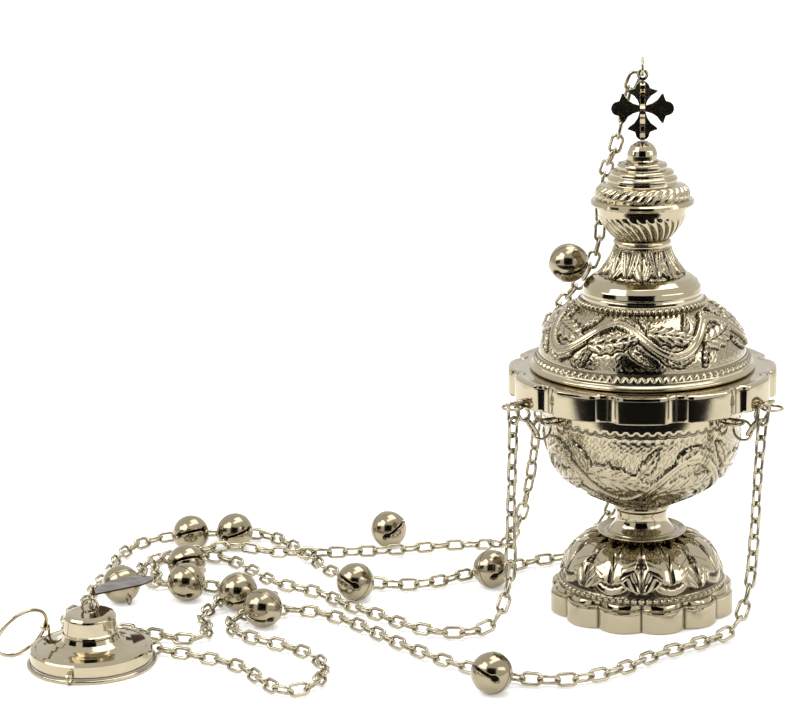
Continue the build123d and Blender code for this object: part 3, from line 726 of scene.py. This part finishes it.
# ---- bells ---------------------------------------------------------------------
def bell_shape():
    """A crotal bell, slit side up: two halves, a rolled seam, a slit between two round holes, and a wire loop."""
    bm = bmesh.new()
    bmesh.ops.create_uvsphere(bm, u_segments=128, v_segments=80, radius=9.2 * MM)
    painted_shade = bm.verts.layers.float.new("recess_shade")
    slit_half = 6.8
    for vert in bm.verts:
        x, y, z = (c / MM for c in vert.co)
        push = 0.22 * np.exp(-((z / 0.5) ** 2)) - 0.55 * np.exp(-((z / 0.16) ** 2))
        # Painted shade along the seam groove.
        dark = 0.9 * np.exp(-((z / 0.22) ** 2))
        if z > 1.0:
            slit = abs(y) - 0.60 if abs(x) < slit_half else 9.0
            hole = min(hypot(x - slit_half, y), hypot(x + slit_half, y)) - 1.4
            depth = min(1.0, max(0.0, -min(slit, hole) / 0.25 + 0.4))
            push -= 1.9 * depth
            # The slit and the two holes are sunk, not cut through, and get full painted shade where the dark inside of
            # the bell would show.
            dark = max(dark, 1.0 if depth > 0.3 else 0.0)
        vert.co *= 1 + push / 9.2
        vert[painted_shade] = dark
    wire = bmesh.ops.create_circle(bm, segments=8, radius=0.6 * MM)["verts"]
    bmesh.ops.translate(bm, verts=wire, vec=(2.0 * MM, 0, 0))
    bmesh.ops.rotate(bm, cent=(0, 0, 0), matrix=Matrix.Rotation(pi / 2, 3, "X"), verts=wire)
    bmesh.ops.translate(bm, verts=wire, vec=(0, 0, -10.6 * MM))
    rim = list({e for v in wire for e in v.link_edges})
    bmesh.ops.spin(bm, geom=wire + rim, cent=(0, 0, -10.6 * MM), axis=(0, 1, 0), angle=2 * pi, steps=20,
                   use_merge=True)
    bmesh.ops.recalc_face_normals(bm, faces=bm.faces[:])
    return bm


def make_bell(shape, name, node, body, facing):
    """A bell turned so that its slit faces a direction."""
    bm = shape.copy()
    turn = Vector((0, 0, 1)).rotation_difference(Vector(facing)) @ Quaternion((0, 0, 1), facing[0] * 2)
    bmesh.ops.rotate(bm, cent=(0, 0, 0), matrix=turn.to_matrix(), verts=bm.verts[:])
    bmesh.ops.translate(bm, verts=bm.verts[:], vec=middle_of(node))
    return finish_piece(bm, name, "bell_brass", body, [node])


BELL_FACINGS = {
    "bell_01": (-0.45, -0.65, 0.35), "bell_02": (0.7, -0.5, 0.25), "bell_03": (-0.5, -0.6, 0.4),
    "bell_04": (0.6, -0.7, 0.3), "bell_05": (0.2, -0.8, 0.35), "bell_06": (0.3, -0.9, 0.1),
    "bell_07": (0.2, -0.7, 0.5), "bell_08": (-0.5, -0.7, -0.3), "bell_09": (0.4, -0.8, -0.2),
    "bell_10": (-0.3, -0.8, -0.3), "bell_11": (-0.4, 0.6, 0.4),
}


def middle_of(node):
    low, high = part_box(node)
    return (Vector(low) + Vector(high)) / 2


def make_bells():
    shape = bell_shape()
    for node, facing in BELL_FACINGS.items():
        make_bell(shape, f"{node}_pressed", node, "root", facing)
    make_bell(shape, "lid_bell_pressed", "bell_lid_chain", "lid_bell", (0.25, -0.9, -0.35))
    shape.free()


# ---- hand cap ------------------------------------------------------------------
def make_cap():
    centre = middle_of("cap_shell")
    turned(
        "hand_cap_spun",
        [(2.2, 24.0), (9.4, 24.0), (10.8, 23.5), (11.7, 22.2), (12.1, 18.0), (12.1, 15.8), (12.6, 15.4), (12.8, 14.6),
         (12.4, 14.0), (13.2, 12.0), (15.4, 10.4), (18.6, 9.4), (22.6, 8.8), (24.6, 8.5), (25.0, 8.9), (27.0, 8.3),
         (27.5, 7.6), (27.5, 2.9), (27.2, 2.3)],
        [(2.2, 22.8), (9.4, 22.8), (10.4, 22.0), (10.8, 15.0), (11.9, 11.4), (16.4, 8.4), (22.6, 7.2), (26.3, 6.8),
         (26.3, 2.3)],
        "root", ["cap_shell"], spacing=0.6, curved=False, centre=(centre.x, centre.y),
    )


# ---- chains --------------------------------------------------------------------
F = 3.6  # height of a chain lying on the floor
CHAIN_ROUTES = {
    "chain_right": [
        (54, -35, 99.5), (52, -36, 74), (51, -36, 46), (49.5, -36, 22), (43, -46, F), (27, -61, F), (6, -77, F),
        (-9, -98, F), (-34, -113, F), (-62, -106, F), (-88, -88, F), (-112, -64, F), (-134, -37, F), (-160, -20, F),
        (-185, -27, F), (-192, -47, F), (-177, -63, F), (-152, -76, F), (-138, -96, F), (-139, -120, F),
        (-152, -131, F), (-164, -117, F), (-176, -98, F), (-194, -88, F), (-216, -78.5, F),
    ],
    "chain_left": [
        (-58, -33, 99.5), (-59, -31, 74), (-60, -28, 46), (-60, -30, 22), (-66, -44, F), (-84, -54, F),
        (-105, -46, F), (-122, -28, F), (-138, -16, F), (-154, 4, F), (-176, 14, F), (-190, 34, F), (-206, 54, F),
        (-228, 60, F), (-246, 48, F), (-246, 28, F), (-236, 12, F), (-214, 13, F), (-198, 6, F), (-200, -16, F),
        (-206, -36, F), (-196, -54, F), (-204, -68, F), (-222, -58, F), (-240, -52, F),
    ],
    "chain_rear": [
        (0, 66.5, 99.5), (-2, 67, 74), (-8, 66, 46), (-17, 65, 22), (-32, 62, F), (-52, 56, F), (-66, 42, F),
        (-84, 34, F), (-100, 18, F), (-120, 14, F), (-140, 24, F), (-156, 38, F), (-164, 58, F), (-178, 78, F),
        (-192, 94, F), (-214, 95, F), (-238, 92, F), (-256, 76, F), (-262, 52, F), (-260, 28, F), (-264, 6, F),
        (-262, -18, F), (-270, -38, F), (-264, -55, F),
    ],
    "lid_chain_lower": [
        (-48, 50, 108), (-50, 52, 82), (-53, 54, 54), (-58, 57, 28), (-66, 66, 8), (-80, 80, F), (-100, 78, F),
        (-120, 70, F), (-144, 56, F + 3), (-166, 54, F + 3), (-188, 64, F), (-206, 62, F + 5), (-238, 34, F + 6),
        (-236, 14, F + 6), (-230, -4, 12.0),
    ],
    "lid_chain_upper": [
        (-3, 5.4, 251), (-7, 8, 243), (-9, 8, 229), (-13, 12, 214), (-18, 22, 203), (-20, 23, 188), (-19, 20, 174),
        (-23, 25, 160), (-29, 31, 149), (-39, 41, 137), (-46, 49, 124), (-48, 50, 108.2),
    ],
}


def route_line(name, points):
    """The chain's own smooth line, read from a NURBS curve through its given route."""
    curve = bpy.data.curves.new(f"{name}_line", "CURVE")
    curve.dimensions = "3D"
    curve.resolution_u = 24
    spline = curve.splines.new("NURBS")
    spline.points.add(len(points) - 1)
    for point, place in zip(spline.points, points):
        point.co = (*(c * MM for c in place), 1)
    spline.order_u = 3
    spline.use_endpoint_u = True
    holder = bpy.data.objects.new(f"{name}_line", curve)
    mesh = bpy.data.meshes.new_from_object(holder)
    line = np.array([v.co for v in mesh.vertices])
    bpy.data.objects.remove(holder)
    bpy.data.curves.remove(curve)
    bpy.data.meshes.remove(mesh)
    return line


def one_link():
    """A single oval link of round wire, lying along X in the XY plane."""
    s = sizes()
    bm = bmesh.new()
    bend = (s.link_width - s.link_wire) / 2
    ring = bmesh.ops.create_circle(bm, segments=6, radius=s.link_wire / 2)["verts"]
    bmesh.ops.rotate(bm, cent=(0, 0, 0), matrix=Matrix.Rotation(pi / 2, 3, "X"), verts=ring)
    bmesh.ops.translate(bm, verts=ring, vec=(bend, 0, 0))
    bmesh.ops.spin(bm, geom=bm.verts[:] + bm.edges[:], cent=(0, 0, 0), axis=(0, 0, 1), angle=2 * pi, steps=14,
                   use_merge=True)
    stretch = (s.link_length - s.link_width) / 2
    for vert in bm.verts:
        vert.co.x += stretch if vert.co.x > 1e-6 else -stretch if vert.co.x < -1e-6 else 0
    bmesh.ops.recalc_face_normals(bm, faces=bm.faces[:])
    mesh = bpy.data.meshes.new("link")
    bm.to_mesh(mesh)
    bm.free()
    return mesh


def link_run(bm, link, line, start_roll=45.0):
    """Sets links along a line, each turned a quarter from the last."""
    run = np.concatenate([[0], np.cumsum(np.linalg.norm(np.diff(line, axis=0), axis=1))])
    pitch = sizes().link_length - 2 * sizes().link_wire + 0.0001
    count = max(1, round((run[-1] - sizes().link_wire) / pitch))
    step = run[-1] / count
    for k in range(count):
        at = (k + 0.5) * step
        here, ahead, behind = (
            Vector([np.interp(at + d, run, line[:, i]) for i in range(3)]) for d in (0, step * 0.5, -step * 0.5)
        )
        along = (ahead - behind).normalized()
        turn = Vector((1, 0, 0)).rotation_difference(along)
        side = turn @ Vector((0, 1, 0))
        level = Vector((0, 0, 1)).cross(along)
        lean = 0.0
        if level.length > 0.25:
            level.normalize()
            lean = atan2(side.cross(level).dot(along), side.dot(level))
        wobble = 9 * sin(k * 2.7)
        roll = Quaternion((1, 0, 0), lean + radians(start_roll + 90 * (k % 2) + wobble))
        place = Matrix.Translation((here + ahead + behind) / 3) @ (turn @ roll).to_matrix().to_4x4()
        link.transform(place)
        bm.from_mesh(link)
        link.transform(place.inverted())
    return float(run[-1])


def make_chains():
    link = one_link()
    for name, route in CHAIN_ROUTES.items():
        line = route_line(name, route)
        bm = bmesh.new()
        length = link_run(bm, link, line)
        upper = name == "lid_chain_upper"
        piece = finish_piece(bm, f"{name}_links", "chain_brass", "lid" if upper else None, [name])
        if not upper:
            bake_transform(piece, "root", "lid", start=(0, 0, 0.010), end=(0, 0, 0.098))
    for side, angle in SIDE_ANGLES.items():
        out = Vector((cos(radians(angle)), sin(radians(angle)), 0))
        bm = bmesh.new()
        rise = [out * 0.0555 + Vector((0, 0, 0.0915)), out * 0.0600 + Vector((0, 0, 0.0985)),
                out * 0.0645 + Vector((0, 0, 0.1065))]
        link_run(bm, link, np.array(rise), 0)
        finish_piece(bm, f"riser_links_{side}", "chain_brass", "root")
        bm = bmesh.new()
        top = Vector(CHAIN_ROUTES[f"chain_{side}"][0]) * MM
        over = [out * 0.0645 + Vector((0, 0, 0.1062)), out * 0.0655 + Vector((0, 0, 0.1095)), top + Vector((0, 0, 0.006)),
                top + Vector((0, 0, -0.001))]
        link_run(bm, link, np.array(over), 20)
        finish_piece(bm, f"ring_links_{side}", "chain_brass", "lid")
    bpy.data.meshes.remove(link)


# ---- the pieces that keep their CAD shape -----------------------------------------
def dress_frame():
    """Every CAD node that still shows takes the finish of its slot."""
    for sub in frame["record"]["subparts"]:
        node = frame["nodes"][sub["node"]]
        node.data.materials.clear()
        node.data.materials.append(MATERIALS[sub["material_slot"]])


# ---- stage -----------------------------------------------------------------------
CAMERA_PLACE = (0.0, -1.17001, 0.40593)
CAMERA_YAW, CAMERA_DROP, CAMERA_ROLL = 5.4796, 13.7803, -1.1718
CAMERA_LENS = 116.9


def make_camera():
    yaw, drop, roll = (radians(a) for a in (CAMERA_YAW, CAMERA_DROP, CAMERA_ROLL))
    ahead = Vector((-sin(yaw) * cos(drop), cos(yaw) * cos(drop), -sin(drop)))
    right = Vector((cos(yaw), sin(yaw), 0))
    up = right.cross(ahead)
    right, up = right * cos(roll) + up * sin(roll), up * cos(roll) - right * sin(roll)
    data = bpy.data.cameras.new("camera")
    data.lens = CAMERA_LENS
    data.clip_start, data.clip_end = 0.05, 30
    camera = bpy.data.objects.new("camera", data)
    camera.matrix_world = Matrix((
        (right.x, up.x, -ahead.x, CAMERA_PLACE[0]), (right.y, up.y, -ahead.y, CAMERA_PLACE[1]),
        (right.z, up.z, -ahead.z, CAMERA_PLACE[2]), (0, 0, 0, 1),
    ))
    bpy.context.scene.collection.objects.link(camera)
    bpy.context.scene.camera = camera


def panel(name, size, place, aim, colour, strength=0.0):
    """A flat card of the studio: a black flag or a glowing soft box."""
    bm = bmesh.new()
    bmesh.ops.create_grid(bm, x_segments=1, y_segments=1, size=0.5)
    bmesh.ops.scale(bm, vec=(size[0], size[1], 1), verts=bm.verts[:])
    turn = Vector((0, 0, 1)).rotation_difference((Vector(aim) - Vector(place)).normalized())
    bmesh.ops.rotate(bm, cent=(0, 0, 0), matrix=turn.to_matrix(), verts=bm.verts[:])
    bmesh.ops.translate(bm, verts=bm.verts[:], vec=place)
    mesh = bpy.data.meshes.new(name)
    bm.to_mesh(mesh)
    bm.free()
    card = bpy.data.objects.new(name, mesh)
    bpy.context.scene.collection.objects.link(card)
    material = bpy.data.materials.new(name)
    material.use_nodes = True
    shader = material.node_tree.nodes["Principled BSDF"]
    shader.inputs["Base Color"].default_value = linear(colour)
    shader.inputs["Roughness"].default_value = 0.9
    shader.inputs["Specular IOR Level"].default_value = 0.1
    if strength:
        shader.inputs["Emission Color"].default_value = linear(colour)
        shader.inputs["Emission Strength"].default_value = strength
    mesh.materials.append(material)
    return card


def make_stage():
    make_camera()
    panel("studio_floor", (30, 30), (0, 0, 0), (0, 0, 1), colours().floor, 0.28)
    flags = [
        panel("black_flag_left", (0.9, 1.1), (-1.9, -0.75, 0.62), (0, 0, 0.05), "040404"),
        panel("black_flag_front", (1.8, 1.5), (-0.05, -1.75, 0.80), (0, 0, 0.1), "040404"),
        panel("black_flag_low", (2.6, 2.4), (-0.05, -1.46, 0.002), (-0.05, -1.46, 1), "040404"),
    ]
    boxes = [
        panel("soft_box_left", (0.5, 1.3), (-1.15, -0.55, 0.95), (0, 0, 0.15), "FFFFFF", 2.4),
        panel("soft_box_right", (0.4, 1.3), (1.35, -0.60, 0.85), (0, 0, 0.15), "FFFFFF", 2.2),
        panel("soft_box_top", (1.1, 0.5), (0.1, -0.25, 1.9), (0, 0, 0.15), "FFFFFF", 2.2),
    ]
    for card in flags + boxes:
        card.visible_camera = card.visible_diffuse = card.visible_shadow = False
    world = bpy.data.worlds.new("studio_white")
    bpy.context.scene.world = world
    world.use_nodes = True
    world.node_tree.nodes["Background"].inputs["Color"].default_value = (1, 1, 1, 1)
    world.node_tree.nodes["Background"].inputs["Strength"].default_value = 1.0
    for name, place, size, power in (("key_left", (-1.3, -0.7, 1.6), 0.9, 14), ("top", (0.4, 0.6, 2.0), 1.2, 16)):
        light = bpy.data.lights.new(name, "AREA")
        light.size, light.energy = size, power
        lamp = bpy.data.objects.new(name, light)
        lamp.location = place
        lamp.rotation_mode = "QUATERNION"
        lamp.rotation_quaternion = (Vector(place) - Vector((0, 0, 0.1))).to_track_quat("Z", "Y")
        bpy.context.scene.collection.objects.link(lamp)
    bpy.context.scene.view_settings.view_transform = "Standard"


# ---- operators and panel ------------------------------------------------------------
def make_finishes():
    MATERIALS.update(make_materials())
    dress_frame()


class THURIBLE_OT_stage(bpy.types.Operator):
    """Floor, lights, black flags and camera"""
    bl_idname = "thurible.stage"
    bl_label = "Stage"

    def execute(self, context):
        make_stage()
        return {"FINISHED"}


class THURIBLE_OT_finishes(bpy.types.Operator):
    """Every metal finish, and the nodes that keep their shape"""
    bl_idname = "thurible.finishes"
    bl_label = "Finishes"

    def execute(self, context):
        make_finishes()
        return {"FINISHED"}


class THURIBLE_OT_foot(bpy.types.Operator):
    """Scalloped plinth, chased dome, collar and stem"""
    bl_idname = "thurible.foot"
    bl_label = "Foot and stem"

    def execute(self, context):
        make_foot()
        return {"FINISHED"}


class THURIBLE_OT_bowl(bpy.types.Operator):
    """Chased bowl"""
    bl_idname = "thurible.bowl"
    bl_label = "Bowl"

    def execute(self, context):
        make_bowl()
        return {"FINISHED"}


class THURIBLE_OT_lid(bpy.types.Operator):
    """Brim, band, chased dome, shoulder and leaf collar"""
    bl_idname = "thurible.lid"
    bl_label = "Lid"

    def execute(self, context):
        make_lid()
        return {"FINISHED"}


class THURIBLE_OT_lantern(bpy.types.Operator):
    """Fluted bowl, flange, gadrooned tiers and finial"""
    bl_idname = "thurible.lantern"
    bl_label = "Lantern"

    def execute(self, context):
        make_lantern()
        return {"FINISHED"}


class THURIBLE_OT_cross(bpy.types.Operator):
    """Two crossing blades and the eye"""
    bl_idname = "thurible.cross"
    bl_label = "Cross"

    def execute(self, context):
        make_cross()
        return {"FINISHED"}


class THURIBLE_OT_bells(bpy.types.Operator):
    """Twelve crotal bells"""
    bl_idname = "thurible.bells"
    bl_label = "Bells"

    def execute(self, context):
        make_bells()
        return {"FINISHED"}


class THURIBLE_OT_cap(bpy.types.Operator):
    """Spun hand cap"""
    bl_idname = "thurible.cap"
    bl_label = "Hand cap"

    def execute(self, context):
        make_cap()
        return {"FINISHED"}


class THURIBLE_OT_chains(bpy.types.Operator):
    """Linked chains along their routes"""
    bl_idname = "thurible.chains"
    bl_label = "Chains"

    def execute(self, context):
        make_chains()
        return {"FINISHED"}


STEPS = [
    THURIBLE_OT_stage,
    THURIBLE_OT_finishes,
    THURIBLE_OT_foot,
    THURIBLE_OT_bowl,
    THURIBLE_OT_lid,
    THURIBLE_OT_lantern,
    THURIBLE_OT_cross,
    THURIBLE_OT_bells,
    THURIBLE_OT_cap,
    THURIBLE_OT_chains,
]


class THURIBLE_PT_panel(bpy.types.Panel):
    """Lists the maker's steps"""
    bl_label = "Thurible"
    bl_space_type = "VIEW_3D"
    bl_region_type = "UI"
    bl_category = "Thurible"

    def draw(self, context):
        for step in STEPS:
            self.layout.operator(step.bl_idname)


CLASSES = [ThuribleSizes, ThuribleColours, *STEPS, THURIBLE_PT_panel]


def register():
    for cls in CLASSES:
        bpy.utils.register_class(cls)
    bpy.types.Scene.thurible_sizes = bpy.props.PointerProperty(type=ThuribleSizes)
    bpy.types.Scene.thurible_colours = bpy.props.PointerProperty(type=ThuribleColours)


def unregister():
    del bpy.types.Scene.thurible_sizes
    del bpy.types.Scene.thurible_colours
    for cls in reversed(CLASSES):
        bpy.utils.unregister_class(cls)


def main():
    register()
    for step in STEPS:
        getattr(bpy.ops.thurible, step.bl_idname.split(".")[1])()


if __name__ == "__main__":
    main()
